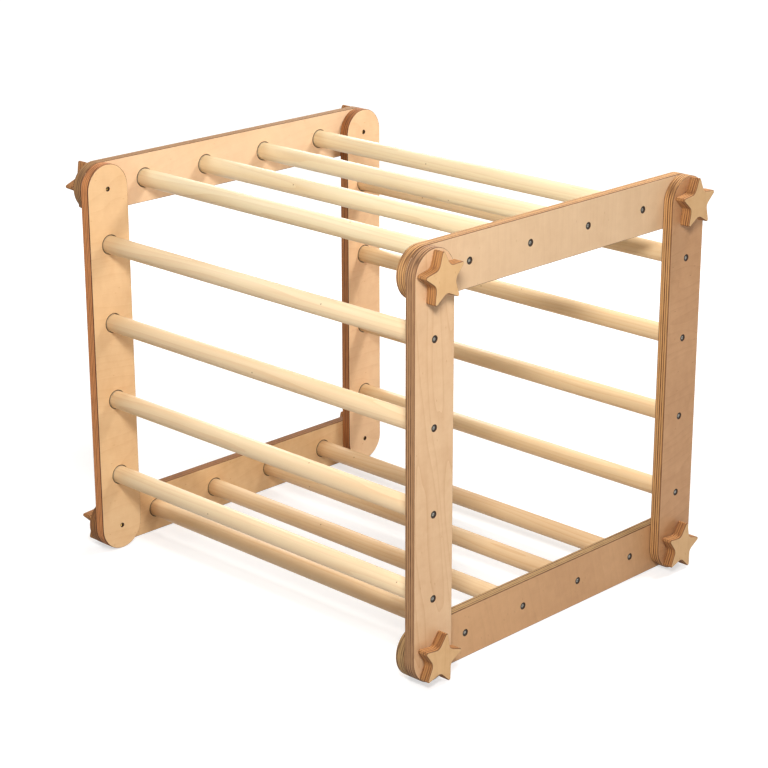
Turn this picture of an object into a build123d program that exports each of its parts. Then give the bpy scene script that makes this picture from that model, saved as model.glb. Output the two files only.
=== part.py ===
from build123d import *
from math import radians, sin
import os

# A climbing cube: four ladders of plywood boards and round rungs, joined by star knobs.
# X runs along the rungs, Y from front to back and Z up, in millimetres.
# The origin is on the floor, under the middle of the cube.

# Boards, two for each ladder, with fully rounded ends
board_thickness = 18.0
board_width = 80.0
bolt_pitch = 570.0
board_edge_round = 1.5

# Rungs, seated in blind pockets in the boards' inner faces
rung_diameter = 29.0
rungs_per_ladder = 4
first_rung_offset = 90.0
clear_width = 684.0
rung_seat_depth = 8.0
rung_seat_play = 0.5

# Countersunk screws, one from outside into each rung end
screw_length = 60.0
screw_core_diameter = 4.4
screw_head_diameter = 9.5
countersink_diameter = 11.5
screw_hole_play = 0.3
screw_seat_play = 0.02
screw_tip_length = 6.0
screw_tip_diameter = 1.1
pilot_overrun = 2.0
recess_rim = 2.4
recess_width = 1.1
recess_depth = 1.5
recess_turn = 40.0

# Threaded inserts, in the inner board of each corner
insert_diameter = 10.0
insert_length = 13.0
insert_seat_play = 0.02

# Threaded studs that the star knobs turn
stud_diameter = 6.0
stud_end_chamfer = 0.8
thread_play = 0.05
bolt_hole_play = 0.5

# Washers between a star knob and its board
washer_diameter = 18.0
washer_thickness = 2.0
washer_play = 0.2
face_play = 0.2

# Star knobs, sawn from plywood
star_thickness = 18.0
star_points = 5
star_floor_gap = 0.3
star_tip_angle = 47.0
star_tip_round = 2.4
star_notch_round = 9.0
star_edge_round = 1.2
star_seat_depth = 12.0
star_seat_play = 0.02

# The way each star's first point was left standing, in degrees from the back towards the top
star_turns = {
    "front_bottom_right": 76.5,
    "front_top_right": 96.5,
    "back_bottom_right": 78.0,
    "back_top_right": 91.0,
    "front_bottom_left": 88.0,
    "front_top_left": 106.0,
    "back_bottom_left": 97.0,
    "back_top_left": 82.0,
}

# Running gap between the overlapping boards of two ladders
ladder_gap = 0.3

# Places worked out from the sizes above
rung_radius = rung_diameter / 2
rung_pitch = (bolt_pitch - 2 * first_rung_offset) / (rungs_per_ladder - 1)
stagger = board_thickness + ladder_gap
ladder_half_width = clear_width / 2 + board_thickness
outer_face = ladder_half_width + stagger / 2
axis_height = board_width / 2
axis_depth = bolt_pitch / 2
bolt_hole_radius = stud_diameter / 2 + bolt_hole_play
screw_hole_radius = screw_core_diameter / 2 + screw_hole_play
screw_sink = (countersink_diameter - screw_head_diameter) / 2 - screw_seat_play
star_reach = board_width / 2 - star_floor_gap
star_back = 2 * face_play + washer_thickness

# Each ladder's first corner bolt in Y and Z, and whether its boards stand upright
ladders = {
    "bottom": (-axis_depth, axis_height, False),
    "top": (-axis_depth, axis_height + bolt_pitch, False),
    "front": (-axis_depth, axis_height, True),
    "back": (axis_depth, axis_height, True),
}
sides = {"left": -1, "right": 1}


# A round bar along X between two X positions
def rod(radius, start, end, y=0.0, z=0.0):
    bar = Cylinder(radius, abs(end - start))
    return Pos((start + end) / 2, y, z) * Rot(0, 90, 0) * bar


# A cone along X, with a radius at each end
def taper(start_radius, end_radius, start, end, y=0.0, z=0.0):
    if start > end:
        return taper(end_radius, start_radius, end, start, y, z)
    cone = Cone(start_radius, end_radius, end - start)
    return Pos((start + end) / 2, y, z) * Rot(0, 90, 0) * cone


# How far each rung lies from the ladder's first corner bolt
def rung_places():
    return [first_rung_offset + i * rung_pitch for i in range(rungs_per_ladder)]


# The outer boards of a corner are the uprights on the right and the level boards on the left
def holds_inserts(side, upright):
    return (side == "left") == upright


# A board lying along Y, with its inner face at X = 0 and its outer face towards out
def board(out, with_inserts):
    outline = Pos(bolt_pitch / 2, 0) * SlotCenterToCenter(bolt_pitch, board_width)
    solid = extrude(Plane.YZ * outline, out * board_thickness)
    rims = solid.faces().filter_by(Axis.X).edges()
    solid = fillet(rims, board_edge_round)
    face = out * board_thickness
    for y in rung_places():
        solid -= rod(rung_radius + rung_seat_play, 0, out * rung_seat_depth, y)
        solid -= rod(screw_hole_radius, 0, face, y)
        sink_depth = countersink_diameter / 2 - screw_hole_radius
        floor = out * (board_thickness - sink_depth)
        solid -= taper(screw_hole_radius, countersink_diameter / 2, floor, face, y)
    for y in (0, bolt_pitch):
        solid -= rod(bolt_hole_radius, 0, face, y)
        if with_inserts:
            pocket = out * (board_thickness - insert_length)
            solid -= rod(insert_diameter / 2 + insert_seat_play, pocket, face, y)
    return solid


# A rung along X, with a pilot hole for a screw in each end
def rung(y):
    half = clear_width / 2 + rung_seat_depth
    solid = rod(rung_radius, -half, half, y)
    reach = screw_length + screw_sink - board_thickness + rung_seat_depth
    for out in (-1, 1):
        hole_end = out * (half - reach - pilot_overrun)
        hole_radius = screw_core_diameter / 2 + screw_seat_play
        solid -= rod(hole_radius, out * half, hole_end, y)
    return solid


# A countersunk cross-recess screw, driven from the outer face at X = face
def screw(out, face, y, turn):
    core = screw_core_diameter / 2
    head = screw_head_diameter / 2
    top = face - out * screw_sink
    neck = top - out * (head - core)
    tip = top - out * screw_length
    tip_start = tip + out * screw_tip_length
    solid = taper(head, core, top, neck, y) + rod(core, neck, tip_start, y)
    solid += taper(core, screw_tip_diameter / 2, tip_start, tip, y)
    recess_length = screw_head_diameter - 2 * recess_rim
    slot = Box(2 * recess_depth, recess_length, recess_width)
    for angle in (turn, turn + 90):
        solid -= Pos(top, y, 0) * Rot(angle, 0, 0) * slot
    return solid


# A threaded sleeve whose mouth is level with the outer face at X = face
def insert(out, face, y):
    sleeve = rod(insert_diameter / 2, face, face - out * insert_length, y)
    bore = rod(stud_diameter / 2 + thread_play, face, face - out * insert_length, y)
    return sleeve - bore


# The outline of a star in the Y-Z plane, with its first point at a given turn
def star_outline(turn):
    half_tip = radians(star_tip_angle / 2)
    half_step = radians(180 / star_points)
    sharp = star_reach + star_tip_round * (1 / sin(half_tip) - 1)
    waist = sharp * sin(half_tip) / sin(half_tip + half_step)
    corners = []
    for i in range(star_points):
        corners.append(Vector(sharp, 0).rotate(Axis.Z, turn + i * 360 / star_points))
        corners.append(Vector(waist, 0).rotate(Axis.Z, turn + (i + 0.5) * 360 / star_points))
    outline = make_face(Polyline(*corners, close=True))
    middle = (sharp + waist) / 2
    notches = [v for v in outline.vertices() if Vector(v).length < middle]
    outline = fillet(notches, star_notch_round)
    tips = [v for v in outline.vertices() if Vector(v).length > sharp - star_tip_round / 2]
    return fillet(tips, star_tip_round)


# The star of a knob, standing off the board's outer face at X = face
def star(out, face, turn):
    back = face + out * star_back
    blank = extrude(Plane.YZ * star_outline(turn), out * star_thickness)
    solid = fillet(blank.faces().filter_by(Axis.X).edges(), star_edge_round)
    solid = Pos(back, 0, 0) * solid
    seat_radius = stud_diameter / 2 + star_seat_play
    return solid - rod(seat_radius, back, back + out * star_seat_depth)


# The stud of a knob, from the bottom of the star's seat to the end of the insert
def stud(out, face):
    start = face + out * (star_back + star_seat_depth)
    end = face - out * (board_thickness + ladder_gap + insert_length)
    solid = rod(stud_diameter / 2, start, end)
    tip = solid.faces().sort_by(Axis.X)[0 if out > 0 else -1]
    return chamfer(tip.edges(), stud_end_chamfer)


# The washer under a star
def washer(out, face):
    start = face + out * face_play
    end = start + out * washer_thickness
    hole = rod(stud_diameter / 2 + washer_play, start, end)
    return rod(washer_diameter / 2, start, end) - hole


# Several solids in one node
def group(pieces):
    return Compound([solid for piece in pieces for solid in piece.solids()])


# Turns a piece that lies along Y upright if need be, and puts it at its ladder
def in_place(piece, x, y, z, upright):
    return Pos(x, y, z) * Rot(90 if upright else 0, 0, 0) * piece


# The boards, rungs, screws and inserts of one ladder, by node name
def ladder_nodes(name, y, z, upright):
    x = stagger / 2 if upright else -stagger / 2
    plank = "post" if upright else "board"
    nodes = {}
    screws = []
    inserts = []
    for side, out in sides.items():
        inner = x + out * clear_width / 2
        with_inserts = holds_inserts(side, upright)
        piece = board(out, with_inserts)
        nodes[f"{name}_{plank}_{side}"] = in_place(piece, inner, y, z, upright)
        face = out * board_thickness
        for i, place in enumerate(rung_places()):
            piece = screw(out, face, place, i * recess_turn)
            screws.append(in_place(piece, inner, y, z, upright))
        if with_inserts:
            for place in (0, bolt_pitch):
                piece = insert(out, face, place)
                inserts.append(in_place(piece, inner, y, z, upright))
    for i, place in enumerate(rung_places()):
        nodes[f"{name}_rung_{i + 1}"] = in_place(rung(place), x, y, z, upright)
    nodes[f"{name}_ladder_screws"] = group(screws)
    nodes[f"{name}_ladder_inserts"] = group(inserts)
    return nodes


# The star, stud and washer of one corner knob, by node name
def knob_nodes(corner, out, y, z):
    face = out * outer_face
    place = Pos(0, y, z)
    return {
        f"star_{corner}": place * star(out, face, star_turns[corner]),
        f"stud_{corner}": place * stud(out, face),
        f"washer_{corner}": place * washer(out, face),
    }


# Every node of the cube
def all_nodes():
    nodes = {}
    for name, (y, z, upright) in ladders.items():
        nodes.update(ladder_nodes(name, y, z, upright))
    for depth, y in (("front", -axis_depth), ("back", axis_depth)):
        for level, z in (("bottom", axis_height), ("top", axis_height + bolt_pitch)):
            for side, out in sides.items():
                nodes.update(knob_nodes(f"{depth}_{level}_{side}", out, y, z))
    return nodes


# One file for each node
os.makedirs("parts", exist_ok=True)
for node, shape in all_nodes().items():
    export_step(group([shape]), f"parts/{node}.step")
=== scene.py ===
# %% [markdown]
# This lesson dresses a climbing cube for small children: four ladders of birch plywood and
# round birch rungs, bolted together at eight corners by knobs that are sawn to a star.
# The measured model comes first and stays where it is. Every finish and every small part
# is made around it, in metres, with X along the rungs, Y from front to back and Z up.

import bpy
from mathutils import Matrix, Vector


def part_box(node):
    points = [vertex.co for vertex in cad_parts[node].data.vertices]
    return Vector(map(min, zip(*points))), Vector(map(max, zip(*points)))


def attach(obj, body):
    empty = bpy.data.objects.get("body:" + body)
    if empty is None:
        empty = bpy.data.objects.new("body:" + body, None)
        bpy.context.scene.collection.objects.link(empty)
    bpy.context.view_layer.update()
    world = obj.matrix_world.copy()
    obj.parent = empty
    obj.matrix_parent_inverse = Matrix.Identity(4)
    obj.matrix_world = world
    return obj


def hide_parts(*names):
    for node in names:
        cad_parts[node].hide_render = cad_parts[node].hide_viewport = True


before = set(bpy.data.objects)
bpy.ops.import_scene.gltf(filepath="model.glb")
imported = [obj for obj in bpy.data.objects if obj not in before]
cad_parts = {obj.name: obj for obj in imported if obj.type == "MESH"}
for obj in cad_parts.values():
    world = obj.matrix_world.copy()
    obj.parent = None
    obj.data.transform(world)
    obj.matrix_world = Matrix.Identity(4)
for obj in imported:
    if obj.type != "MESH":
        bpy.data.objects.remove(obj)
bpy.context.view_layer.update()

# %% [markdown]
# Sizes on a drawing are in millimetres and Blender works in metres, so one value turns the
# first into the second. Two small helpers read where a part lies from its box.

# %% Sizes and places
import math

import bpy
from mathutils import Matrix, Vector

MM = 0.001
LADDERS = ("bottom", "top", "front", "back")
STARS = [node.removeprefix("star_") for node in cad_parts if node.startswith("star_")]


def middle(node):
    low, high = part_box(node)
    return (low + high) / 2


def size(node):
    low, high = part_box(node)
    return high - low


rung_count = sum(node.startswith("front_rung_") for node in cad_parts)
rung_length, rung_thickness = size("front_rung_1")[:2]
board_thickness = size("front_post_right").x
print(f"rungs {rung_count}, {rung_length:.3f} m long and {rung_thickness:.3f} m thick")

# %% [markdown]
# The camera stands where the photographer stood: to the right of the cube's front, a little
# above it, with a long lens that keeps the uprights nearly parallel. It is placed by its
# eye point and the point that it looks at, which is easier to read than three angles.

# %% Camera
EYE = Vector((2.3246, -2.3901, 1.4476))
LOOKS_AT = Vector((0.0150, -0.0217, 0.3046))
LENS = 103.13
ROLL = math.radians(-0.08)

camera = bpy.data.objects.new("camera", bpy.data.cameras.new("camera"))
bpy.context.scene.collection.objects.link(camera)
camera.data.lens = LENS
camera.data.sensor_width = 36
camera.data.clip_end = 50
camera.location = EYE
aim = (LOOKS_AT - EYE).to_track_quat("-Z", "Y")
camera.rotation_euler = (aim.to_matrix() @ Matrix.Rotation(ROLL, 3, "Z")).to_euler()
bpy.context.scene.camera = camera
print(f"camera {(LOOKS_AT - EYE).length:.2f} m from the cube")

# %% [markdown]
# A material is a tree of nodes. One helper adds a node of any kind, gives it its settings and
# sets or links its inputs, and returns it, so that a pattern reads as a list of steps.
# Colours are picked as they look on a screen, and a second helper makes them linear.


# %% Helpers for colours and node trees
def linear(code):
    shares = [int(code[i : i + 2], 16) / 255 for i in (1, 3, 5)]
    return [s / 12.92 if s <= 0.04045 else ((s + 0.055) / 1.055) ** 2.4 for s in shares] + [1.0]


def pick_socket(sockets, key):
    if isinstance(key, int):
        return sockets[key]
    return next(s for s in sockets if s.enabled and s.name == key)


def add(tree, kind, inputs=None, **settings):
    node = tree.nodes.new(kind)
    for name, value in settings.items():
        setattr(node, name, value)
    for key, value in (inputs or {}).items():
        if isinstance(value, bpy.types.Node):
            value = next(s for s in value.outputs if s.enabled)
        socket = pick_socket(node.inputs, key)
        if isinstance(value, bpy.types.NodeSocket):
            tree.links.new(value, socket)
        else:
            socket.default_value = value
    return node


def new_material(name):
    material = bpy.data.materials.new(name)
    material.use_nodes = True
    material.node_tree.nodes.clear()
    return material, material.node_tree


# %% [markdown]
# The stage is a plain white floor. Seen directly it gets some light of its own, little under
# the cube and more further out, so that it runs into the white background and the shadow of
# the cube still lies on it. The paper's own light never falls on the cube.

# %% Floor
FLOOR_HALF = 12.0
FLOOR_DROP = 0.0004
LIFT_NEAR = 0.62
LIFT_FAR = 1.0
LIFT_STARTS = 0.7
LIFT_ENDS = 1.9

floor_mesh = bpy.data.meshes.new("floor")
corners = [(x * FLOOR_HALF, y * FLOOR_HALF, -FLOOR_DROP) for x, y in ((-1, -1), (1, -1), (1, 1), (-1, 1))]
floor_mesh.from_pydata(corners, [], [(0, 1, 2, 3)])
floor = bpy.data.objects.new("floor", floor_mesh)
bpy.context.scene.collection.objects.link(floor)

paper, tree = new_material("white studio paper")
path = add(tree, "ShaderNodeLightPath")
rays = {0: path.outputs["Is Camera Ray"], 1: path.outputs["Is Glossy Ray"]}
seen = add(tree, "ShaderNodeMath", rays, operation="MAXIMUM")
spot = add(tree, "ShaderNodeTexCoord").outputs["Object"]
reach = add(tree, "ShaderNodeVectorMath", {0: spot}, operation="LENGTH").outputs["Value"]
lift = {"Value": reach, "From Min": LIFT_STARTS, "From Max": LIFT_ENDS}
lift |= {"To Min": LIFT_NEAR, "To Max": LIFT_FAR}
lift = add(tree, "ShaderNodeMapRange", lift, interpolation_type="SMOOTHSTEP")
lift = add(tree, "ShaderNodeMath", {0: seen, 1: lift}, operation="MULTIPLY")
glow = add(tree, "ShaderNodeEmission", {"Color": linear("#FFFFFF"), "Strength": lift})
sheet = add(tree, "ShaderNodeBsdfDiffuse", {"Color": linear("#BCBCBC")})
both = add(tree, "ShaderNodeAddShader", {0: sheet, 1: glow})
add(tree, "ShaderNodeOutputMaterial", {"Surface": both})
floor_mesh.materials.append(paper)

# %% [markdown]
# Four soft lamps light the cube from above. The ones behind it and right of the camera are
# the main ones: between them they give each rung the two faint shadows that fan out below it
# on the left boards. The ones at the left and the back fill the other sides. The world adds a
# little of the warm light that wood throws back into a room, and it is plain white where it is
# seen directly or mirrored in metal.

# %% Lamps and backdrop
WORLD_LIGHT = 0.20
WORLD_WARMTH = "#FFE6CC"
LAMPS = {
    "behind": ((0.50, 1.10, 1.90), 0.45, 28.2),
    "right": ((1.40, -1.40, 1.65), 0.45, 39.8),
    "left": ((-1.20, -0.90, 1.90), 0.8, 12.6),
    "back": ((-1.60, 1.50, 1.20), 0.8, 16.5),
}

world = bpy.data.worlds.new("studio")
world.use_nodes = True
world.node_tree.nodes.clear()
tree = world.node_tree
path = add(tree, "ShaderNodeLightPath")
rays = {0: path.outputs["Is Camera Ray"], 1: path.outputs["Is Glossy Ray"]}
seen = add(tree, "ShaderNodeMath", rays, operation="MAXIMUM")
through = path.outputs["Is Transmission Ray"]
seen = add(tree, "ShaderNodeMath", {0: seen, 1: through}, operation="MAXIMUM")
strength = add(tree, "ShaderNodeMapRange", {"Value": seen, "To Min": WORLD_LIGHT, "To Max": 1.0})
shade = {"Factor": seen, "A": linear(WORLD_WARMTH), "B": linear("#FFFFFF")}
shade = add(tree, "ShaderNodeMix", shade, data_type="RGBA")
background = add(tree, "ShaderNodeBackground", {"Color": shade, "Strength": strength})
add(tree, "ShaderNodeOutputWorld", {"Surface": background})
bpy.context.scene.world = world

for name, (place, width, power) in LAMPS.items():
    lamp = bpy.data.objects.new(f"lamp_{name}", bpy.data.lights.new(f"lamp_{name}", "AREA"))
    bpy.context.scene.collection.objects.link(lamp)
    lamp.data.size = width
    lamp.data.energy = power
    lamp.location = place
    lamp.rotation_euler = (LOOKS_AT - Vector(place)).to_track_quat("-Z", "Y").to_euler()
    lamp.visible_camera = False
bpy.context.scene.view_settings.view_transform = "Standard"
print("lamps", len(LAMPS))

# %% [markdown]
# Wood gets its look from layers of different size, so two small functions build them up.
# The first adds stretched clouds: long thin ones are fibres, round ones are mottling and very
# large ones a slow change of tone. The second draws growth lines as the contour lines of one
# more slow cloud, which gives the nested arcs that a peeled veneer shows.


# %% Clouds and growth lines
LAYER_SHIFT = 7.3
SEED_SPREAD = 91.0
HILL_DETAIL = 1.4
HILL_ROUGHNESS = 0.35


def clouds(tree, place, seed, start, layers):
    """layers holds (lengths in mm along the grain, across it and through it, detail, strength)."""
    total = start
    for number, (lengths, detail, strength) in enumerate(layers):
        stretch = [1 / length for length in lengths]
        scaled = add(tree, "ShaderNodeVectorMath", {0: place, 1: stretch}, operation="MULTIPLY")
        moved = add_up(tree, seed, LAYER_SHIFT * number)
        values = {"Vector": scaled, "W": moved, "Scale": 1.0, "Detail": detail}
        cloud = add(tree, "ShaderNodeTexNoise", values, noise_dimensions="4D")
        level = add(tree, "ShaderNodeMath", {0: cloud, 1: 0.5}, operation="SUBTRACT")
        total = add(tree, "ShaderNodeMath", {0: level, 1: strength, 2: total}, operation="MULTIPLY_ADD")
    return total, cloud


def add_up(tree, first, second):
    """Adds two numbers, either in Python or, where the first is a socket, in the node tree."""
    if isinstance(first, (int, float)):
        return first + second
    return add(tree, "ShaderNodeMath", {0: first, 1: second}, operation="ADD").outputs[0]


def growth_lines(tree, place, seed, along, across, lines, sharpness, slope=0.0):
    """Contour lines that darken slowly and end sharply, as late wood does."""
    stretch = (1 / along, 1 / across, 1 / across)
    scaled = add(tree, "ShaderNodeVectorMath", {0: place, 1: stretch}, operation="MULTIPLY")
    values = {"Vector": scaled, "W": seed, "Scale": 1.0, "Detail": HILL_DETAIL, "Roughness": HILL_ROUGHNESS}
    hill = add(tree, "ShaderNodeTexNoise", values, noise_dimensions="4D")
    across_grain = add(tree, "ShaderNodeSeparateXYZ", {0: place}).outputs["Y"]
    sloped = add(tree, "ShaderNodeMath", {0: across_grain, 1: slope}, operation="MULTIPLY")
    height = add(tree, "ShaderNodeMath", {0: hill, 1: lines, 2: sloped}, operation="MULTIPLY_ADD")
    share = add(tree, "ShaderNodeMath", {0: height}, operation="FRACT")
    return add(tree, "ShaderNodeMath", {0: share, 1: sharpness}, operation="POWER")


# %% [markdown]
# Birch plywood is a stack of thin veneers, glued with their grain crossed, then sanded and oiled.
# Its face is pale, with faint arcs and now and then a dark pin fleck. Its edge is browner,
# because cut fibres drink the oil: a veneer cut along its fibres less, one cut across them more.
# The pattern is solid, so it depends only on where a point lies in the board. The faces,
# the edges, the round ends and the screw holes then agree with each other.
# A real sheet of 18 mm has thirteen veneers of 1.4 mm, finer than a pixel of the photograph,
# which is about 1.6 mm. So nine are drawn, of 2 mm each and of differing darkness, and the edge
# still reads as stripes from there. Real fibres are far finer too: streaks 1.2 mm wide stand
# for them. A sawn edge is rougher than a face, and so it shines less.

# %% Birch plywood, sanded and oiled
VENEERS = 9
LAYER_MARGIN = 0.001
GLUE_SHARE = 0.10
FACE_MARK = 0.16
EDGE_MARK = 0.35

# Layers of cloud: lengths in mm along the grain, across and through it, then detail and strength
FIBRES = ((26, 1.2, 1.2), 3.0, 0.26)
MOTTLE = ((13, 17, 17), 2.5, 0.55)
TONE = ((230, 70, 70), 1.0, 0.65)
WAVES = ((40, 40, 40), 1.0, 0.7)
DASHES = ((17, 17, 1.7), 1.0, 1.1)

# Flecks, at most one in each cell: the cell's sides in mm, a fleck's size as a share of them
FLECK_CELL = (52.0, 15.0)
FLECK_SIZE = 0.055
FLECK_RARITY = 0.66
FLECK_DARK = 0.9
THIRST = 0.6
EDGE_ROUGHER = 0.28
GLUE_DARK = 0.7
GLUE_TONE = "#4E301A"
ARRIS_DARK = 0.8
ARRIS_TONE = "#5E3A20"
ROUGHNESS = (0.45, 0.62)
THIRSTY_SINKS = -1.6
RELIEF_STRENGTH = 0.35
RELIEF_DEPTH = 0.06

# Cosines between which a look changes. For CUT the angle is from a surface's normal to the
# fibres, for the others from it to the normal of the sheet's face.
CUT_FROM, CUT_TO = 0.25, 0.85
EDGE_FROM, EDGE_TO = 0.75, 0.99
ARRIS_FROM, ARRIS_FULL = 0.1, 0.5
FACE_FROM, FACE_FULL = 0.85, 0.995


def plywood_layers(tree, place, seed):
    """Which veneer a point is in, how far through that veneer it is, and whether it is crossed."""
    wave, _ = clouds(tree, place, seed, 0.0, [WAVES])
    depth = add(tree, "ShaderNodeSeparateXYZ", {0: place}).outputs["Z"]
    depth = add(tree, "ShaderNodeMath", {0: depth, 1: wave}, operation="ADD")
    per_mm = VENEERS * MM / board_thickness
    level = add(tree, "ShaderNodeMath", {0: depth, 1: per_mm, 2: VENEERS / 2}, operation="MULTIPLY_ADD")
    inside = {"Value": level, "Min": LAYER_MARGIN, "Max": VENEERS - LAYER_MARGIN}
    level = add(tree, "ShaderNodeClamp", inside)
    layer = add(tree, "ShaderNodeMath", {0: level}, operation="FLOOR")
    share = add(tree, "ShaderNodeMath", {0: level}, operation="FRACT")
    crossed = add(tree, "ShaderNodeMath", {0: layer, 1: 2.0}, operation="MODULO")
    return layer, share, crossed


def plywood_flecks(tree, place, seed):
    """Short dark dashes along the grain, in about a third of the cells they could be in."""
    stretch = (1 / FLECK_CELL[0], 1 / FLECK_CELL[1], 0.0)
    scaled = add(tree, "ShaderNodeVectorMath", {0: place, 1: stretch}, operation="MULTIPLY")
    start = add(tree, "ShaderNodeCombineXYZ", {"X": seed})
    moved = add(tree, "ShaderNodeVectorMath", {0: scaled, 1: start}, operation="ADD")
    cell = add(tree, "ShaderNodeTexVoronoi", {"Vector": moved, "Scale": 1.0}, voronoi_dimensions="2D")
    here = {"Value": cell.outputs["Distance"], "From Max": FLECK_SIZE, "To Min": 1.0, "To Max": 0.0}
    dash = add(tree, "ShaderNodeMapRange", here, interpolation_type="SMOOTHSTEP")
    chance = add(tree, "ShaderNodeSeparateColor", {0: cell.outputs["Color"]}).outputs["Red"]
    rare = add(tree, "ShaderNodeMath", {0: chance, 1: FLECK_RARITY}, operation="GREATER_THAN")
    return add(tree, "ShaderNodeMath", {0: dash, 1: rare}, operation="MULTIPLY")


def birch_plywood(name, tones, grain, across, arcs, centre=None, seed=0.0, holes=()):
    """tones are the hex colours of face, growth line, edge and end grain, centre the board's middle.

    Without a centre, the piece's own place and pick attributes say where a point lies.
    """
    material, tree = new_material(name)
    pale, dark, sawn, end_grain = (linear(tone) for tone in tones)
    turn = Matrix((grain, across, grain.cross(across)))
    coords = add(tree, "ShaderNodeTexCoord")
    own = coords.outputs["Object"]
    if centre is None:
        own = add(tree, "ShaderNodeAttribute", attribute_name="place").outputs["Vector"]
        pick = add(tree, "ShaderNodeAttribute", attribute_name="pick").outputs["Fac"]
        spread = add(tree, "ShaderNodeMath", {0: pick, 1: SEED_SPREAD}, operation="MULTIPLY")
        seed = add_up(tree, spread.outputs[0], seed)
        centre = Vector((0, 0, 0))
    turned = {"Vector": own, "Location": -(turn @ centre) / MM, "Rotation": turn.to_euler()}
    place = add(tree, "ShaderNodeMapping", {**turned, "Scale": (1 / MM, 1 / MM, 1 / MM)})
    turned = {"Vector": coords.outputs["Normal"], "Rotation": turn.to_euler()}
    facing = add(tree, "ShaderNodeMapping", turned, vector_type="VECTOR")
    facing = add(tree, "ShaderNodeVectorMath", {0: facing}, operation="ABSOLUTE")
    facing = add(tree, "ShaderNodeSeparateXYZ", {0: facing})

    mark, fibres = clouds(tree, place, seed, FACE_MARK, [MOTTLE, TONE, FIBRES])
    *arc_shape, arc_strength = arcs
    lines = growth_lines(tree, place, seed, *arc_shape)
    mark = add(tree, "ShaderNodeMath", {0: lines, 1: arc_strength, 2: mark}, operation="MULTIPLY_ADD")
    flecks = plywood_flecks(tree, place, seed)
    mark = add(tree, "ShaderNodeMath", {0: flecks, 1: FLECK_DARK, 2: mark}, operation="MULTIPLY_ADD")
    mark = add(tree, "ShaderNodeClamp", {"Value": mark})
    face = add(tree, "ShaderNodeMix", {"Factor": mark, "A": pale, "B": dark}, data_type="RGBA")

    layer, share, crossed = plywood_layers(tree, place, seed)
    cut = {"Factor": crossed, "A": facing.outputs["X"], "B": facing.outputs["Y"]}
    cut = add(tree, "ShaderNodeMix", cut, data_type="FLOAT")
    cut = {"Value": cut, "From Min": CUT_FROM, "From Max": CUT_TO}
    cut = add(tree, "ShaderNodeMapRange", cut, interpolation_type="SMOOTHSTEP")
    number = add(tree, "ShaderNodeMath", {0: layer, 1: seed}, operation="ADD")
    thirst = add(tree, "ShaderNodeTexWhiteNoise", {"W": number}, noise_dimensions="1D").outputs["Value"]
    dashes, _ = clouds(tree, place, seed, EDGE_MARK, [DASHES])
    drunk = add(tree, "ShaderNodeMath", {0: thirst, 1: THIRST, 2: dashes}, operation="MULTIPLY_ADD")
    drunk = add(tree, "ShaderNodeMath", {0: drunk, 1: cut}, operation="MULTIPLY", use_clamp=True)
    as_face = facing.outputs["Z"]
    edge = {"Value": as_face, "From Min": EDGE_FROM, "From Max": EDGE_TO, "To Min": 1.0, "To Max": 0.0}
    edge = add(tree, "ShaderNodeMapRange", edge, interpolation_type="SMOOTHSTEP")
    arris = {"Value": as_face, "From Min": ARRIS_FROM, "From Max": ARRIS_FULL, "To Max": ARRIS_DARK}
    arris = add(tree, "ShaderNodeMapRange", arris, interpolation_type="SMOOTHSTEP")
    off_face = {"Value": as_face, "From Min": FACE_FROM, "From Max": FACE_FULL, "To Min": 1.0, "To Max": 0.0}
    off_face = add(tree, "ShaderNodeMapRange", off_face, interpolation_type="SMOOTHSTEP")
    arris = add(tree, "ShaderNodeMath", {0: arris, 1: off_face}, operation="MULTIPLY")
    wood = add(tree, "ShaderNodeMix", {"Factor": edge, "A": face, "B": sawn}, data_type="RGBA")
    wood = add(tree, "ShaderNodeMix", {"Factor": drunk, "A": wood, "B": end_grain}, data_type="RGBA")

    middle_of = add(tree, "ShaderNodeMath", {0: share, 1: 0.5}, operation="SUBTRACT")
    off = add(tree, "ShaderNodeMath", {0: middle_of}, operation="ABSOLUTE")
    glue = {"Value": off, "From Min": 0.5 - GLUE_SHARE, "From Max": 0.5, "To Max": GLUE_DARK}
    glue = add(tree, "ShaderNodeMapRange", glue)
    glue = add(tree, "ShaderNodeMath", {0: glue, 1: edge}, operation="MULTIPLY")
    glue = {"Factor": glue, "A": wood, "B": linear(GLUE_TONE)}
    wood = add(tree, "ShaderNodeMix", glue, data_type="RGBA")
    arris = {"Factor": arris, "A": wood, "B": linear(ARRIS_TONE)}
    wood = add(tree, "ShaderNodeMix", arris, data_type="RGBA")
    # Painted shade in the holes and in the gaps round the rung seats
    for row in holes:
        wood = with_painted_hole_shade(tree, wood, own, *row)

    rough = {"Value": fibres, "To Min": ROUGHNESS[0], "To Max": ROUGHNESS[1]}
    rough = add(tree, "ShaderNodeMapRange", rough)
    rough = add(tree, "ShaderNodeMath", {0: edge, 1: EDGE_ROUGHER, 2: rough}, operation="MULTIPLY_ADD")
    relief = add(tree, "ShaderNodeMath", {0: drunk, 1: THIRSTY_SINKS, 2: fibres}, operation="MULTIPLY_ADD")
    bump = {"Height": relief, "Strength": RELIEF_STRENGTH, "Distance": RELIEF_DEPTH * MM}
    bump = add(tree, "ShaderNodeBump", bump)
    finish = {"Base Color": wood, "Roughness": rough, "Normal": bump, "IOR": 1.5}
    add(tree, "ShaderNodeOutputMaterial", {"Surface": add(tree, "ShaderNodeBsdfPrincipled", finish)})
    return material


# %% [markdown]
# Round the screw heads, at the bolts and round the seats of the rungs the boards carry painted
# shade: the shadow that falls into each hole and into the gap round each rung, drawn as a thin
# dark ring. The holes of a board stand in one line at even steps, so the distance to the
# nearest step finds them all.


# %% Painted shade in the holes
# Painted shade in the holes: how soft its edge is in mm, how dark it gets and its tone
HOLE_SHADE_FADE = 0.4
HOLE_SHADE_DARK = 0.9
HOLE_SHADE_TONE = "#2E1B0E"


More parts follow.
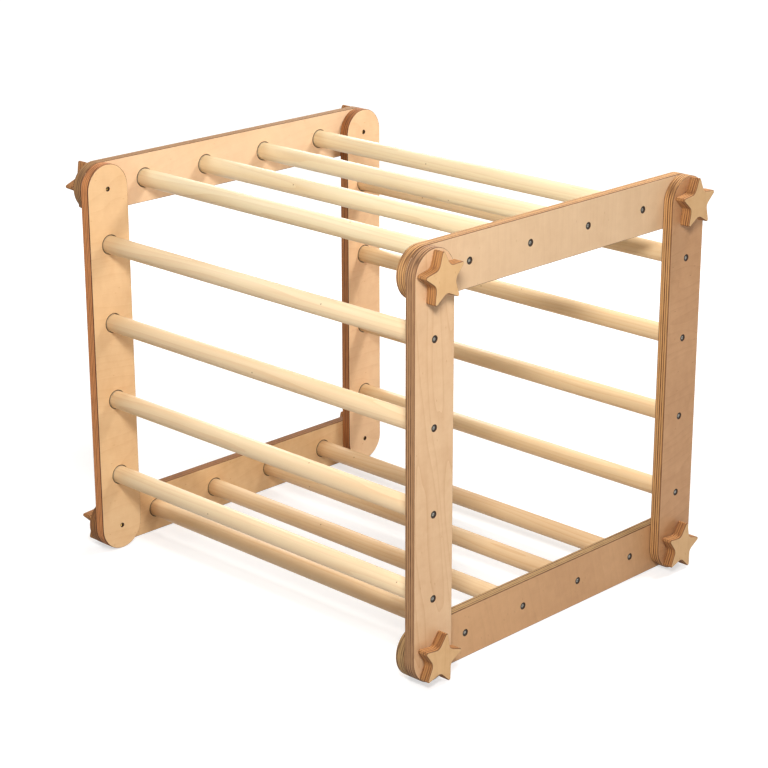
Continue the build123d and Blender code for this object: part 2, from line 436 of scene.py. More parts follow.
def with_painted_hole_shade(tree, wood, own, first, step, count, ring, half_width, side):
    """Paints shade as a dark ring round each hole: ring is its radius and half_width its half width, in mm.

    A radius of nought makes a disc. The vector side points to the face that is darkened, and
    a vector of nought darkens both.
    """
    off = add(tree, "ShaderNodeVectorMath", {0: own, 1: first}, operation="SUBTRACT")
    per_step = step / step.length_squared
    steps = add(tree, "ShaderNodeVectorMath", {0: off, 1: per_step}, operation="DOT_PRODUCT")
    nearest = add(tree, "ShaderNodeMath", {0: steps.outputs["Value"]}, operation="ROUND")
    nearest = add(tree, "ShaderNodeClamp", {"Value": nearest, "Max": count - 1})
    there = add(tree, "ShaderNodeVectorMath", {0: step, "Scale": nearest}, operation="SCALE")
    flat = add(tree, "ShaderNodeVectorMath", {0: off, 1: there}, operation="SUBTRACT")
    flat = add(tree, "ShaderNodeVectorMath", {0: flat, 1: (0, 1 / MM, 1 / MM)}, operation="MULTIPLY")
    far = add(tree, "ShaderNodeVectorMath", {0: flat}, operation="LENGTH").outputs["Value"]
    far = add(tree, "ShaderNodeMath", {0: far, 1: ring}, operation="SUBTRACT")
    far = add(tree, "ShaderNodeMath", {0: far}, operation="ABSOLUTE")
    hole_shade_mask = {"Value": far, "From Min": half_width - HOLE_SHADE_FADE, "From Max": half_width}
    hole_shade_mask = add(tree, "ShaderNodeMapRange", {**hole_shade_mask, "To Min": HOLE_SHADE_DARK, "To Max": 0.0})
    beyond = add(tree, "ShaderNodeVectorMath", {0: off, 1: side}, operation="DOT_PRODUCT")
    beyond = add(tree, "ShaderNodeMath", {0: beyond.outputs["Value"], 1: -MM}, operation="GREATER_THAN")
    hole_shade_mask = add(tree, "ShaderNodeMath", {0: hole_shade_mask, 1: beyond}, operation="MULTIPLY")
    darkened = {"Factor": hole_shade_mask, "A": wood, "B": linear(HOLE_SHADE_TONE)}
    return add(tree, "ShaderNodeMix", darkened, data_type="RGBA")


# %% [markdown]
# The boards of the real cube were cut from the sheet both ways, so on some of them the grain
# runs along the board and on others across it. Each board gets its own tone, arcs and seed,
# and the boards whose edges are seen best get edge tones of their own too.

# %% Boards
UPRIGHT = Vector((0, 0, 1))
LEVEL = Vector((0, 1, 0))
BOARD_SEED_STEP = 3.7
EDGES = {
    "front_post_right": ("#BA8D62", "#50301A"),
    "bottom_board_right": ("#B99462", "#4A2B14"),
    "front_post_left": ("#DE9459", "#502810"),
    "top_board_left": ("#AC8050", "#4A2C16"),
    "bottom_board_left": ("#9C6836", "#40220E"),
    "back_post_left": ("#B0723F", "#4A2412"),
}
OTHER_EDGES = ("#D19E65", "#5A3419")

# Growth lines: how far they run along and across in mm, how many, how sharp, slope and strength
ARCS_LONG = (340, 40, 7.0, 5.0, 0.015, 0.34)
ARCS_WIDE = (190, 60, 8.0, 4.0, 0.04, 0.16)
ARCS_FAINT = (200, 24, 4.0, 3.0, 0.05, 0.12)

# Radii in mm of the painted shade round the screw heads, the bolts and the rung seats
SCREW_HOLE = 5.9
BOLT_HOLE = 4.2
SEAT = 15.1
SEAT_RIM = 1.4

# Each board's grain, its slant in degrees, its pale and dark tones and its growth lines
BOARDS = {
    "front_post_right": (UPRIGHT, 4, "#EBC69C", "#CD9C6D", ARCS_LONG),
    "top_board_right": (UPRIGHT, 0, "#EDCBA3", "#D5AD82", ARCS_FAINT),
    "bottom_board_right": (UPRIGHT, 14, "#D7A878", "#B58458", ARCS_FAINT),
    "back_post_right": (LEVEL, 6, "#D2A275", "#AB794C", ARCS_WIDE),
    "front_post_left": (LEVEL, -5, "#ECC696", "#D3A26F", ARCS_WIDE),
    "top_board_left": (LEVEL, 10, "#EFCCA5", "#D9AE83", ARCS_FAINT),
    "bottom_board_left": (LEVEL, 8, "#F2CB98", "#CC9860", ARCS_FAINT),
    "back_post_left": (LEVEL, 0, "#F7CFA2", "#D9A474", ARCS_WIDE),
}


def holes_of(node):
    """The rows of holes in a board: its screws, the seats of its rungs, and its two bolts."""
    ladder = node.split("_")[0]
    centre = middle(node)
    first = middle(f"{ladder}_rung_1")
    first.x = centre.x
    step = middle(f"{ladder}_rung_2") - middle(f"{ladder}_rung_1")
    bolts = [middle(f"stud_{corner}") for corner in STARS if ladder in corner]
    bolts = sorted((bolt for bolt in bolts if bolt.x * centre.x > 0), key=lambda bolt: bolt.y + bolt.z)
    bolts = [Vector((centre.x, *bolt.yz)) for bolt in bolts]
    outward = Vector((math.copysign(1, centre.x), 0, 0))
    return [
        (first, step, rung_count, 0.0, SCREW_HOLE, outward),
        (first, step, rung_count, SEAT, SEAT_RIM, -outward),
        (bolts[0], bolts[1] - bolts[0], 2, 0.0, BOLT_HOLE, Vector()),
    ]


for number, (node, (grain, slant, pale, dark, arcs)) in enumerate(BOARDS.items()):
    tilt = Matrix.Rotation(math.radians(slant), 3, "X")
    across = LEVEL if grain == UPRIGHT else UPRIGHT
    finish = birch_plywood(
        "birch plywood, " + node.replace("_", " "),
        (pale, dark, *EDGES.get(node, OTHER_EDGES)),
        tilt @ grain,
        tilt @ across,
        arcs,
        middle(node),
        seed=BOARD_SEED_STEP * number,
        holes=holes_of(node),
    )
    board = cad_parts[node]
    board.data.materials.clear()
    board.data.materials.append(finish)
print("boards", len(BOARDS))

# %% [markdown]
# Rungs, screws, studs, washers and inserts are turned parts: each is an outline spun about its
# axis. One function spins any outline, and a ridge that winds round it makes a thread.


# %% Turned parts
def spun(name, outline, sides, closed=False, ridge=None):
    """outline is (x, radius) in millimetres. A closed one is a ring with a bore."""
    points = []
    rows = []
    for x, radius in outline:
        if radius == 0:
            rows.append([len(points)] * sides)
            points.append((x * MM, 0, 0))
            continue
        rows.append([len(points) + k for k in range(sides)])
        for k in range(sides):
            angle = 2 * math.pi * k / sides
            reach = radius + (ridge(x, angle) if ridge else 0)
            points.append((x * MM, reach * math.cos(angle) * MM, reach * math.sin(angle) * MM))
    faces = []
    for row, after in zip(rows, rows[1:] + rows[:1] if closed else rows[1:]):
        for k in range(sides):
            corners = [row[k], row[(k + 1) % sides], after[(k + 1) % sides], after[k]]
            faces.append(list(dict.fromkeys(corners)))
    mesh = bpy.data.meshes.new(name)
    mesh.from_pydata(points, [], faces)
    mesh.validate()
    return mesh


def thread(start, end, depth, pitch):
    """The height of a thread at any x and angle. It fades over its first turn and its last."""

    def height(x, angle):
        turn = (x / pitch - angle / (2 * math.pi)) % 1
        fade = max(0, min(1, (x - start) / pitch, (end - x) / pitch))
        return depth * fade * (1 - abs(2 * turn - 1))

    return height


# %% [markdown]
# Parts that repeat along a ladder are set out by a node tree, as a carpenter would with a
# marked stick: a row of points, one part on each, each turned a bit further than the last.
# A switch repeats the row at the other end of the rungs, facing the other way. Each copy
# keeps its own place and a number of its own, which its finish reads later.


# %% Helpers for trees that shape parts
def new_shape_tree(name, sockets):
    tree = bpy.data.node_groups.new(name, "GeometryNodeTree")
    for label, (kind, value) in sockets.items():
        socket = tree.interface.new_socket(label, in_out="INPUT", socket_type=f"NodeSocket{kind}")
        if value is not None:
            socket.default_value = value
    tree.interface.new_socket("Geometry", in_out="OUTPUT", socket_type="NodeSocketGeometry")
    return tree, add(tree, "NodeGroupInput").outputs


def made_by(name, tree, values, mesh=None, modifiers=()):
    """Runs a tree on a new object, and keeps the mesh that comes out."""
    piece = bpy.data.objects.new(name, mesh or bpy.data.meshes.new(name))
    bpy.context.scene.collection.objects.link(piece)
    shape = piece.modifiers.new("shape", "NODES")
    shape.node_group = tree
    for item in tree.interface.items_tree:
        if item.name in values:
            shape[item.identifier] = values[item.name]
    for kind, settings in modifiers:
        modifier = piece.modifiers.new(kind.lower(), kind)
        for key, value in settings.items():
            setattr(modifier, key, value)
    graph = bpy.context.evaluated_depsgraph_get()
    shaped = piece.evaluated_get(graph)
    result = bpy.data.meshes.new_from_object(shaped, preserve_all_data_layers=True, depsgraph=graph)
    piece.modifiers.clear()
    piece.data = result
    return piece


def smooth(piece, degrees=35):
    """Soft shading, with creases kept where faces meet at more than that angle."""
    piece.data.shade_smooth()
    piece.data.set_sharp_from_angle(angle=math.radians(degrees))


# %% Tree that sets out parts along a ladder
row_tree, given = new_shape_tree(
    "row along a ladder",
    {
        "Part": ("Geometry", None),
        "Count": ("Int", 4),
        "Start": ("Vector", None),
        "Step": ("Vector", None),
        "Both Ends": ("Bool", False),
        "Other End": ("Vector", None),
        "Turn Step": ("Float", 0.0),
        "Seed": ("Int", 1),
        "Finish": ("Material", None),
    },
)
placed = add(row_tree, "GeometryNodeInputPosition")
part = add(
    row_tree,
    "GeometryNodeStoreNamedAttribute",
    {"Geometry": given["Part"], "Name": "place", "Value": placed},
    data_type="FLOAT_VECTOR",
    domain="POINT",
)
number = add(row_tree, "GeometryNodeInputIndex")
turned = add(row_tree, "ShaderNodeMath", {0: number, 1: given["Turn Step"]}, operation="MULTIPLY")
rows = []
for end, about in (("Start", 0.0), ("Other End", math.pi)):
    spots = {"Count": given["Count"], "Start Location": given[end], "Offset": given["Step"]}
    spots = add(row_tree, "GeometryNodeMeshLine", spots)
    angles = add(row_tree, "ShaderNodeCombineXYZ", {"X": turned, "Z": about})
    spin = add(row_tree, "FunctionNodeEulerToRotation", {"Euler": angles})
    copies = {"Points": spots, "Instance": part, "Rotation": spin}
    rows.append(add(row_tree, "GeometryNodeInstanceOnPoints", copies))
pair = add(row_tree, "GeometryNodeJoinGeometry")
for copies in rows:
    row_tree.links.new(copies.outputs[0], pair.inputs[0])
chosen = {"Switch": given["Both Ends"], "False": rows[0], "True": pair}
chosen = add(row_tree, "GeometryNodeSwitch", chosen)
chance = {"Min": 0.0, "Max": 1.0, "ID": number, "Seed": given["Seed"]}
chance = add(row_tree, "FunctionNodeRandomValue", chance, data_type="FLOAT")
chosen = add(
    row_tree,
    "GeometryNodeStoreNamedAttribute",
    {"Geometry": chosen, "Name": "pick", "Value": chance},
    data_type="FLOAT",
    domain="INSTANCE",
)
real = add(row_tree, "GeometryNodeRealizeInstances", {"Geometry": chosen})
done = add(row_tree, "GeometryNodeSetMaterial", {"Geometry": real, "Material": given["Finish"]})
add(row_tree, "NodeGroupOutput", {"Geometry": done})
print("row tree", len(row_tree.nodes), "nodes")

# %% [markdown]
# The rungs are birch dowels, sanded and waxed, paler than the boards because no oil darkens
# them. A dowel is cut along the grain, so its growth rings are nearly flat sheets that run
# its whole length, and show as a few long faint lines. Here and there a pin knot shows as a
# small brown dot. Each rung is turned and shifted by its own number, so no two look alike, and
# each ladder's rungs have a tone of their own, palest on the top ladder and darkest at the back.

# %% Birch dowel, sanded and waxed
DOWEL_RINGS = (420, 30, 5.0, 3.0, 0.16)
DOWEL_FIBRES = ((60, 1.3, 1.3), 2.0, 0.26)
DOWEL_TONE = ((210, 40, 40), 1.0, 0.55)
KNOT_SPACING = 105.0
KNOT_RADIUS = 1.5
KNOT_DARK = 0.7
KNOT_TONE = "#7A4A28"
KNOT_SHIFT = 13.0
DOWEL_MARK = 0.12
RING_STRENGTH = 0.26
PICK_STRENGTH = 0.26
PICK_TURNS = 40.0
DOWEL_ROUGHNESS = (0.42, 0.56)
DOWEL_RELIEF_STRENGTH = 0.25
DOWEL_RELIEF_DEPTH = 0.04


def birch_dowel(name, pale, dark):
    material, tree = new_material(name)
    own = add(tree, "ShaderNodeAttribute", attribute_name="place").outputs["Vector"]
    pick = add(tree, "ShaderNodeAttribute", attribute_name="pick").outputs["Fac"]
    place = add(tree, "ShaderNodeVectorMath", {0: own, "Scale": 1 / MM}, operation="SCALE")
    angle = add(tree, "ShaderNodeMath", {0: pick, 1: PICK_TURNS}, operation="MULTIPLY")
    turned = {"Vector": place, "Angle": angle, "Axis": (1, 0, 0)}
    place = add(tree, "ShaderNodeVectorRotate", turned, rotation_type="AXIS_ANGLE").outputs["Vector"]
    seed = add(tree, "ShaderNodeMath", {0: pick, 1: SEED_SPREAD}, operation="MULTIPLY").outputs[0]

    mark, fibres = clouds(tree, place, seed, DOWEL_MARK, [DOWEL_TONE, DOWEL_FIBRES])
    rings = growth_lines(tree, place, seed, *DOWEL_RINGS)
    mark = add(tree, "ShaderNodeMath", {0: rings, 1: RING_STRENGTH, 2: mark}, operation="MULTIPLY_ADD")
    mark = {0: pick, 1: PICK_STRENGTH, 2: mark}
    mark = add(tree, "ShaderNodeMath", mark, operation="MULTIPLY_ADD", use_clamp=True)
    wood = {"Factor": mark, "A": linear(pale), "B": linear(dark)}
    wood = add(tree, "ShaderNodeMix", wood, data_type="RGBA")

    # The dowel's surface rolled out flat, for knots that are round on it
    axes = add(tree, "ShaderNodeSeparateXYZ", {0: place})
    around = {0: axes.outputs["Z"], 1: axes.outputs["Y"]}
    around = add(tree, "ShaderNodeMath", around, operation="ARCTAN2")
    around = add(tree, "ShaderNodeMath", {0: around, 1: rung_thickness / 2 / MM}, operation="MULTIPLY")
    start = {0: seed, 1: KNOT_SHIFT, 2: axes.outputs["X"]}
    start = add(tree, "ShaderNodeMath", start, operation="MULTIPLY_ADD")
    flat = add(tree, "ShaderNodeCombineXYZ", {"X": start, "Y": around})
    flat = add(tree, "ShaderNodeVectorMath", {0: flat, "Scale": 1 / KNOT_SPACING}, operation="SCALE")
    knot = add(tree, "ShaderNodeTexVoronoi", {"Vector": flat, "Scale": 1.0}, voronoi_dimensions="2D")
    reach = KNOT_RADIUS / KNOT_SPACING
    dot = {"Value": knot.outputs["Distance"], "From Min": reach / 2, "From Max": reach}
    dot = add(tree, "ShaderNodeMapRange", {**dot, "To Min": KNOT_DARK, "To Max": 0.0})
    wood = {"Factor": dot, "A": wood, "B": linear(KNOT_TONE)}
    wood = add(tree, "ShaderNodeMix", wood, data_type="RGBA")

    rough = {"Value": fibres, "To Min": DOWEL_ROUGHNESS[0], "To Max": DOWEL_ROUGHNESS[1]}
    rough = add(tree, "ShaderNodeMapRange", rough)
    bump = {"Height": fibres, "Strength": DOWEL_RELIEF_STRENGTH, "Distance": DOWEL_RELIEF_DEPTH * MM}
    bump = add(tree, "ShaderNodeBump", bump)
    finish = {"Base Color": wood, "Roughness": rough, "Normal": bump, "IOR": 1.48}
    add(tree, "ShaderNodeOutputMaterial", {"Surface": add(tree, "ShaderNodeBsdfPrincipled", finish)})
    return material


DOWELS = {
    "bottom": ("#EFD5AC", "#D0A26E"),
    "top": ("#EFE0BB", "#D2AE7C"),
    "front": ("#F1DCB6", "#D6AA78"),
    "back": ("#E9D0A6", "#CDA26E"),
}
dowel_finishes = {}
for ladder, (pale, dark) in DOWELS.items():
    dowel_finishes[ladder] = birch_dowel(f"birch dowel, {ladder} ladder", pale, dark)
print("dowel finishes", len(dowel_finishes))

# %% [markdown]
# A dowel is spun with its ends eased, as a sanded dowel's are, and the row tree sets out a
# ladder's rungs from it. The places come from the measured model's own rungs.

# %% Rungs
END_EASE = 1.0
EASE_MIDDLE = 0.3
RUNG_SIDES = 48
half = rung_length / 2 / MM
radius = rung_thickness / 2 / MM
outline = [
    (-half, 0),
    (-half, radius - END_EASE),
    (-half + END_EASE * EASE_MIDDLE, radius - END_EASE * EASE_MIDDLE),
    (-half + END_EASE, radius),
    (half - END_EASE, radius),
    (half - END_EASE * EASE_MIDDLE, radius - END_EASE * EASE_MIDDLE),
    (half, radius - END_EASE),
    (half, 0),
]
for number, ladder in enumerate(LADDERS):
    nodes = [f"{ladder}_rung_{i + 1}" for i in range(rung_count)]
    start = middle(nodes[0])
    step = (middle(nodes[-1]) - start) / (rung_count - 1)
    values = {"Count": rung_count, "Start": start, "Step": step, "Seed": number}
    values["Finish"] = dowel_finishes[ladder]
    rungs = made_by(f"{ladder}_rungs", row_tree, values, spun("dowel", outline, RUNG_SIDES))
    smooth(rungs)
    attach(rungs, f"{ladder}_ladder")
    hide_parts(*nodes)
    print(rungs.name, len(rungs.data.polygons), "faces")

# %% [markdown]
# Screws, studs and washers are plated with zinc: a grey metal, not quite a mirror, with faint
# clouds where the plating took unevenly. The rims of the screw heads carry painted shade, the
# shadow of the countersink round a sunk head, so each reads from afar as a dark dot with a
# glint in it. The inserts are turned brass.


# %% Finishes of the metal parts
CLOUD_SIZE = 4.0
# Painted shade on the rims of the screw heads: how far it fades in, in mm, how dark it gets and its tone
RIM_SHADE_FADE = 0.8
RIM_SHADE_DARK = 0.9
RIM_SHADE_TONE = "#2B2622"
TURNING_MARKS = (6.0, 0.4, 0.4)


def plated_metal(name, bright, dull, rough, dusty=None):
    """The last argument is the radius in mm past which painted shade makes the metal dark: the shadow in the
    countersink round a sunk head.
    """
    material, tree = new_material(name)
    own = add(tree, "ShaderNodeAttribute", attribute_name="place")
    place = {0: own.outputs["Vector"], "Scale": 1 / MM}
    place = add(tree, "ShaderNodeVectorMath", place, operation="SCALE")
    cloudy = add(tree, "ShaderNodeTexNoise", {"Vector": place, "Scale": 1 / CLOUD_SIZE, "Detail": 3.0})
    tint = {"Factor": cloudy, "A": linear(bright), "B": linear(dull)}
    tint = add(tree, "ShaderNodeMix", tint, data_type="RGBA")
    # Painted shade: outside a small radius the metal is made dark, for the shadow in the countersink round a
    # sunk screw head
    if dusty:
        radius = add(tree, "ShaderNodeVectorMath", {0: place, 1: (0, 1, 1)}, operation="MULTIPLY")
        radius = add(tree, "ShaderNodeVectorMath", {0: radius}, operation="LENGTH").outputs["Value"]
        rim_shade_mask = {"Value": radius, "From Min": dusty, "From Max": dusty + RIM_SHADE_FADE, "To Max": RIM_SHADE_DARK}
        rim_shade_mask = add(tree, "ShaderNodeMapRange", rim_shade_mask)
        tint = {"Factor": rim_shade_mask, "A": tint, "B": linear(RIM_SHADE_TONE)}
        tint = add(tree, "ShaderNodeMix", tint, data_type="RGBA")
    turning = add(tree, "ShaderNodeVectorMath", {0: place, 1: TURNING_MARKS}, operation="MULTIPLY")
    marks = add(tree, "ShaderNodeTexNoise", {"Vector": turning, "Scale": 1.0, "Detail": 1.0})
    shine = {"Value": cloudy, "To Min": rough - 0.08, "To Max": rough + 0.1}
    shine = add(tree, "ShaderNodeMapRange", shine)
    bump = add(tree, "ShaderNodeBump", {"Height": marks, "Strength": 0.2, "Distance": 0.02 * MM})
    finish = {"Base Color": tint, "Metallic": 1.0, "Roughness": shine, "Normal": bump}
    shader = add(tree, "ShaderNodeBsdfPrincipled", finish)
    add(tree, "ShaderNodeOutputMaterial", {"Surface": shader})
    return material


zinc = plated_metal("zinc-plated steel", "#A7A8A6", "#7C7E7E", 0.34)
# The screws' zinc, with painted shade on the rims of their heads
zinc_with_rim_shade = plated_metal("zinc-plated steel, dusty", "#B9B6AC", "#8C8A84", 0.34, dusty=1.8)
brass = plated_metal("turned brass", "#DDBB6A", "#B8923F", 0.30)

# %% [markdown]
# Each rung is held by a countersunk wood screw at either end. Its cross recess is cut out by a
# small tree: two tapered blades, crossed, are taken away from the head.

# %% Wood screw
SCREW_HEAD = 9.5
SCREW_ROOT = 3.6
SCREW_CREST = 4.9
SCREW_PITCH = 2.5
SCREW_LENGTH = 60.0
SCREW_TIP = 6.0
SCREW_PLAIN = 20.0
SCREW_SIDES = 20
THREAD_ROWS = 5

neck = (SCREW_HEAD - SCREW_CREST) / 2
root = SCREW_ROOT / 2
depth = (SCREW_CREST - SCREW_ROOT) / 2
winding = thread(-SCREW_LENGTH + SCREW_PITCH, -SCREW_PLAIN, depth, SCREW_PITCH)
count = round((SCREW_LENGTH - SCREW_TIP - SCREW_PLAIN) / SCREW_PITCH * THREAD_ROWS)
threaded = [-SCREW_LENGTH + SCREW_TIP + i * SCREW_PITCH / THREAD_ROWS for i in range(count)]
outline = [(-SCREW_LENGTH, 0), (-SCREW_LENGTH + 0.3, 0.4), *[(x, root) for x in threaded]]
shank = SCREW_CREST / 2 - 0.2
rim = SCREW_HEAD / 2
outline += [(-SCREW_PLAIN, root), (-SCREW_PLAIN + 1, shank), (-neck - 0.5, shank)]
outline += [(-neck, SCREW_CREST / 2), (-0.35, rim - 0.1), (-0.1, rim), (0, rim - 0.15), (0, 0)]
screw_mesh = spun("wood_screw", outline, SCREW_SIDES, ridge=winding)

recess_tree, given = new_shape_tree(
    "cross recess",
    {
        "Screw": ("Geometry", None),
        "Span": ("Float", 5.2 * MM),
        "Blade": ("Float", 1.2 * MM),
        "Depth": ("Float", 2.6 * MM),
        "Finish": ("Material", None),
    },
)
deep = add(recess_tree, "ShaderNodeMath", {0: given["Depth"], 1: 2.0}, operation="MULTIPLY")
thin = add(recess_tree, "ShaderNodeMath", {0: given["Blade"], 1: given["Span"]}, operation="DIVIDE")
cutter = add(recess_tree, "GeometryNodeMeshBoolean", operation="UNION", solver="EXACT")
for turn in (0.0, math.pi / 2):
    blade = {"Vertices": 4, "Radius Top": given["Blade"], "Radius Bottom": given["Span"], "Depth": deep}
    blade = add(recess_tree, "GeometryNodeMeshCone", blade)
    slim = add(recess_tree, "ShaderNodeCombineXYZ", {"X": 1.0, "Y": thin, "Z": 1.0})
    narrow = add(recess_tree, "GeometryNodeTransform", {"Geometry": blade, "Scale": slim})
    lift = add(recess_tree, "ShaderNodeCombineXYZ", {"X": given["Depth"]})
    lying = {"Geometry": narrow, "Translation": lift, "Rotation": (turn, -math.pi / 2, 0)}
    lying = add(recess_tree, "GeometryNodeTransform", lying)
    recess_tree.links.new(lying.outputs[0], cutter.inputs["Mesh 2"])
head = {"Mesh 1": given["Screw"], "Mesh 2": cutter}
head = add(recess_tree, "GeometryNodeMeshBoolean", head, operation="DIFFERENCE", solver="EXACT")
real = add(recess_tree, "GeometryNodeRealizeInstances", {"Geometry": head})
done = add(recess_tree, "GeometryNodeSetMaterial", {"Geometry": real, "Material": given["Finish"]})
add(recess_tree, "NodeGroupOutput", {"Geometry": done})
model_screw = made_by("model_screw", recess_tree, {"Finish": zinc_with_rim_shade}, screw_mesh)
screw_mesh = model_screw.data
bpy.data.objects.remove(model_screw)
print("screw", len(screw_mesh.polygons), "faces")

# %% [markdown]
# The screws follow the rungs: one at each end of each rung, its head just below the board's
# face. The recesses stop where the driver left them, so each is turned from the last.

# %% Screws
RECESS_TURN = math.radians(40)

for number, ladder in enumerate(LADDERS):
    node = f"{ladder}_ladder_screws"
    low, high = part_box(node)
    start = middle(f"{ladder}_rung_1")
    step = (middle(f"{ladder}_rung_{rung_count}") - start) / (rung_count - 1)
    values = {"Count": rung_count, "Step": step, "Both Ends": True, "Turn Step": RECESS_TURN}
    values["Start"] = Vector((high.x, start.y, start.z))
    values["Other End"] = Vector((low.x, start.y, start.z))
    values |= {"Seed": number, "Finish": zinc_with_rim_shade}
    screws = made_by(f"{ladder}_screws", row_tree, values, screw_mesh.copy())
    smooth(screws)
    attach(screws, f"{ladder}_ladder")
    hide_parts(node)
    print(screws.name, len(screws.data.polygons), "faces")

# %% [markdown]
# The knobs turn studs with a machine thread that climbs one millimetre a turn. Each stud runs
# into a brass insert: a sleeve with a coarse thread outside that bites into the plywood.

# %% Threaded inserts
INSERT_BORE = 6.1
INSERT_THREAD = 0.9
INSERT_PITCH = 2.5
INSERT_THREAD_MARGINS = (0.8, 0.6)
INSERT_EASE = 0.3
BORE_EASE = 0.4
INSERT_SIDES = 28
INSERT_ROWS = 6


def kept_between(winding, start, end):
    """The same thread, left off before start and after end."""
    return lambda x, angle: winding(x, angle) if start < x < end else 0


for ladder in LADDERS:
    node = f"{ladder}_ladder_inserts"
    low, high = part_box(node)
    outer = min(high.y - low.y, high.z - low.z) / 2 / MM
    long = (high.x - low.x) / MM
    bore = INSERT_BORE / 2
    sleeve = outer - INSERT_THREAD
    starts, ends = INSERT_THREAD_MARGINS
    winding = thread(starts, long - ends, INSERT_THREAD, INSERT_PITCH)
    winding = kept_between(winding, INSERT_EASE, long - INSERT_EASE)
    count = round(long / INSERT_PITCH * INSERT_ROWS)
    body = [(i * long / count, sleeve) for i in range(1, count)]
    outline = [(0, bore + BORE_EASE), (0, sleeve - INSERT_EASE), (INSERT_EASE, sleeve), *body]
    outline += [(long - INSERT_EASE, sleeve), (long, sleeve - INSERT_EASE), (long, bore + BORE_EASE)]
    outline += [(long - BORE_EASE, bore), (BORE_EASE, bore)]
    mesh = spun("insert", outline, INSERT_SIDES, closed=True, ridge=winding)
    half = Vector((0, outer * MM, outer * MM))
    first = Vector((low.x, low.y, low.z)) + half
    last = Vector((low.x, high.y, high.z)) - half
    values = {"Count": 2, "Start": first, "Step": last - first, "Finish": brass}
    inserts = made_by(f"{ladder}_inserts", row_tree, values, mesh)
    smooth(inserts)
    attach(inserts, f"{ladder}_ladder")
    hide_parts(node)
    print(inserts.name, f"{2 * outer:.1f} mm across their threads")

# %% [markdown]
# A star knob is sawn from the same plywood as the boards. Its outline follows a rule: five
# points on a circle and five notches on a smaller one, with every corner rounded, the tips
# tightly and the notches widely. So a tree draws it: a star curve, a fillet whose radius
# depends on the corner, a filled face and its thickness.

# %% Tree that saws a star
STAR_POINTS = 5
STAR_TIP_ANGLE = 47.0
STAR_TIP_ROUND = 3.0
STAR_NOTCH_ROUND = 10.0
STAR_REACH = 39.7
STAR_ARRIS = 1.6

star_tree, given = new_shape_tree(
    "sawn star",
    {
        "Points": ("Int", STAR_POINTS),
        "Tip Radius": ("Float", 0.04),
        "Notch Radius": ("Float", 0.02),
        "Tip Round": ("Float", STAR_TIP_ROUND * MM),
        "Notch Round": ("Float", STAR_NOTCH_ROUND * MM),
        "Round Steps": ("Int", 8),
        "Thickness": ("Float", board_thickness),
        "Turn": ("Float", 0.0),
        "Finish": ("Material", None),
    },
)
star = {"Points": given["Points"], "Inner Radius": given["Notch Radius"], "Outer Radius": given["Tip Radius"]}
star = add(star_tree, "GeometryNodeCurveStar", star)
tips = star.outputs["Outer Points"]
rounding = {"Switch": tips, "False": given["Notch Round"], "True": given["Tip Round"]}
rounding = add(star_tree, "GeometryNodeSwitch", rounding, input_type="FLOAT")
rounded = {"Curve": star, "Count": given["Round Steps"], "Radius": rounding}
rounded = add(star_tree, "GeometryNodeFilletCurve", rounded, mode="POLY")
face = add(star_tree, "GeometryNodeFillCurve", {"Curve": rounded}, mode="NGONS")
raised = {"Mesh": face, "Offset": (0, 0, 1), "Offset Scale": given["Thickness"], "Individual": False}
raised = add(star_tree, "GeometryNodeExtrudeMesh", raised)
under = add(star_tree, "GeometryNodeFlipFaces", {"Mesh": face})
slab = add(star_tree, "GeometryNodeJoinGeometry")
star_tree.links.new(raised.outputs[0], slab.inputs[0])
star_tree.links.new(under.outputs[0], slab.inputs[0])
solid = add(star_tree, "GeometryNodeMergeByDistance", {"Geometry": slab, "Distance": 0.01 * MM})
back = add(star_tree, "ShaderNodeMath", {0: given["Thickness"], 1: -0.5}, operation="MULTIPLY")
back = add(star_tree, "ShaderNodeCombineXYZ", {"Z": back})
centred = add(star_tree, "GeometryNodeTransform", {"Geometry": solid, "Translation": back})
twist = add(star_tree, "ShaderNodeCombineXYZ", {"Z": given["Turn"]})
twist = add(star_tree, "FunctionNodeEulerToRotation", {"Euler": twist})
twisted = add(star_tree, "GeometryNodeTransform", {"Geometry": centred, "Rotation": twist})
standing = Matrix(((0, 0, 1), (1, 0, 0), (0, 1, 0))).to_euler()
stood = add(star_tree, "GeometryNodeTransform", {"Geometry": twisted, "Rotation": standing})
real = add(star_tree, "GeometryNodeRealizeInstances", {"Geometry": stood})
done = add(star_tree, "GeometryNodeSetMaterial", {"Geometry": real, "Material": given["Finish"]})
add(star_tree, "NodeGroupOutput", {"Geometry": done})
print("star tree", len(star_tree.nodes), "nodes")

# %% [markdown]
# Every star stopped at its own angle when it was tightened. A bevel eases its sawn edges, and
# the flat faces keep flat shading because the bevel's normals are weighted by area.

# %% Star knobs
STAR_TURNS = {
    "front_bottom_right": 76.5,
    "front_top_right": 96.5,
    "back_bottom_right": 78.0,
    "back_top_right": 91.0,
    "front_bottom_left": 88.0,
    "front_top_left": 106.0,
    "back_bottom_left": 97.0,
    "back_top_left": 82.0,
}
half_tip = math.radians(STAR_TIP_ANGLE / 2)
half_step = math.pi / STAR_POINTS
tip_radius = STAR_REACH + STAR_TIP_ROUND * (1 / math.sin(half_tip) - 1)
notch_radius = tip_radius * math.sin(half_tip) / math.sin(half_tip + half_step)
STAR_TONES = ("#E6BD88", "#C8965F", "#C08850", "#6A3D1C")
STAR_ARCS = (150, 22, 5.0, 4.0, 0.03, 0.2)
star_finish = birch_plywood("birch plywood, stars", STAR_TONES, UPRIGHT, LEVEL, STAR_ARCS, seed=41.0)
eased = {"width": STAR_ARRIS * MM, "segments": 3, "limit_method": "ANGLE", "angle_limit": math.radians(50)}
arris = ("BEVEL", eased)
flat = ("WEIGHTED_NORMAL", {"mode": "FACE_AREA", "weight": 100})

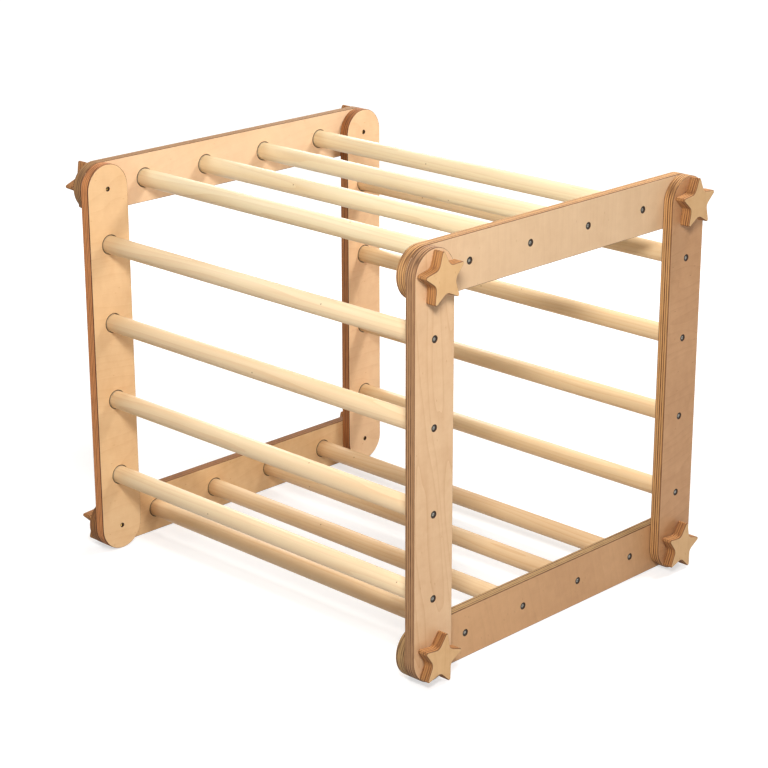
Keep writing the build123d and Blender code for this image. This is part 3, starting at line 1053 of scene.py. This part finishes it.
for number, (corner, turn) in enumerate(STAR_TURNS.items()):
    values = {"Tip Radius": tip_radius * MM, "Notch Radius": notch_radius * MM}
    values |= {"Turn": math.radians(turn), "Finish": star_finish}
    sawn = made_by("sawn_star", star_tree, values, modifiers=[arris])
    centre = Vector((middle(f"star_{corner}").x, *middle(f"stud_{corner}").yz))
    place = {"Count": 1, "Start": centre, "Seed": number, "Finish": star_finish}
    knob = made_by(f"star_{corner}_knob", row_tree, place, sawn.data, modifiers=[flat])
    bpy.data.objects.remove(sawn)
    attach(knob, f"knob_{corner}")
    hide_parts(f"star_{corner}")
print("star faces", len(knob.data.polygons))

# %% [markdown]
# Studs and washers come last. They hide between the star and the board until the knob is
# turned out, and then the bright thread shows.

# %% Studs and washers
STUD_PITCH = 1.0
STUD_DEPTH = 0.55
STUD_CHAMFER = 0.3
STUD_ROWS = 5
STUD_SIDES = 20
WASHER_BORE = 6.4
WASHER_ARRIS = 0.3
WASHER_SIDES = 40

for corner in STAR_TURNS:
    long, wide = (v / MM for v in size(f"stud_{corner}")[:2])
    crest = wide / 2
    winding = thread(0, long, STUD_DEPTH, STUD_PITCH)
    steps = round(long / STUD_PITCH * STUD_ROWS)
    shaft = [(i * long / steps, crest - STUD_DEPTH) for i in range(1, steps)]
    tip = crest - STUD_DEPTH - STUD_CHAMFER
    outline = [(0, 0), (0, tip), *shaft, (long, tip), (long, 0)]
    mesh = spun("stud", outline, STUD_SIDES, ridge=winding)
    place = middle(f"stud_{corner}")
    start = Vector((place.x - long * MM / 2, place.y, place.z))
    values = {"Count": 1, "Start": start, "Finish": zinc}
    stud = made_by(f"stud_{corner}_thread", row_tree, values, mesh)
    smooth(stud, 60)
    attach(stud, f"knob_{corner}")
    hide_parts(f"stud_{corner}")

    thick, wide = (v / MM for v in size(f"washer_{corner}")[:2])
    rim, bore, ease = wide / 2, WASHER_BORE / 2, WASHER_ARRIS
    outline = [(0, bore + ease), (0, rim - ease), (ease, rim), (thick - ease, rim), (thick, rim - ease)]
    outline += [(thick, bore + ease), (thick - ease, bore), (ease, bore)]
    place = middle(f"washer_{corner}")
    start = Vector((place.x - thick * MM / 2, place.y, place.z))
    mesh = spun("washer", outline, WASHER_SIDES, closed=True)
    ring = made_by(f"washer_{corner}_ring", row_tree, {**values, "Start": start}, mesh)
    smooth(ring, 30)
    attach(ring, f"washer_{corner}")
    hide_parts(f"washer_{corner}")
print("stud faces", len(stud.data.polygons), "washer faces", len(ring.data.polygons))
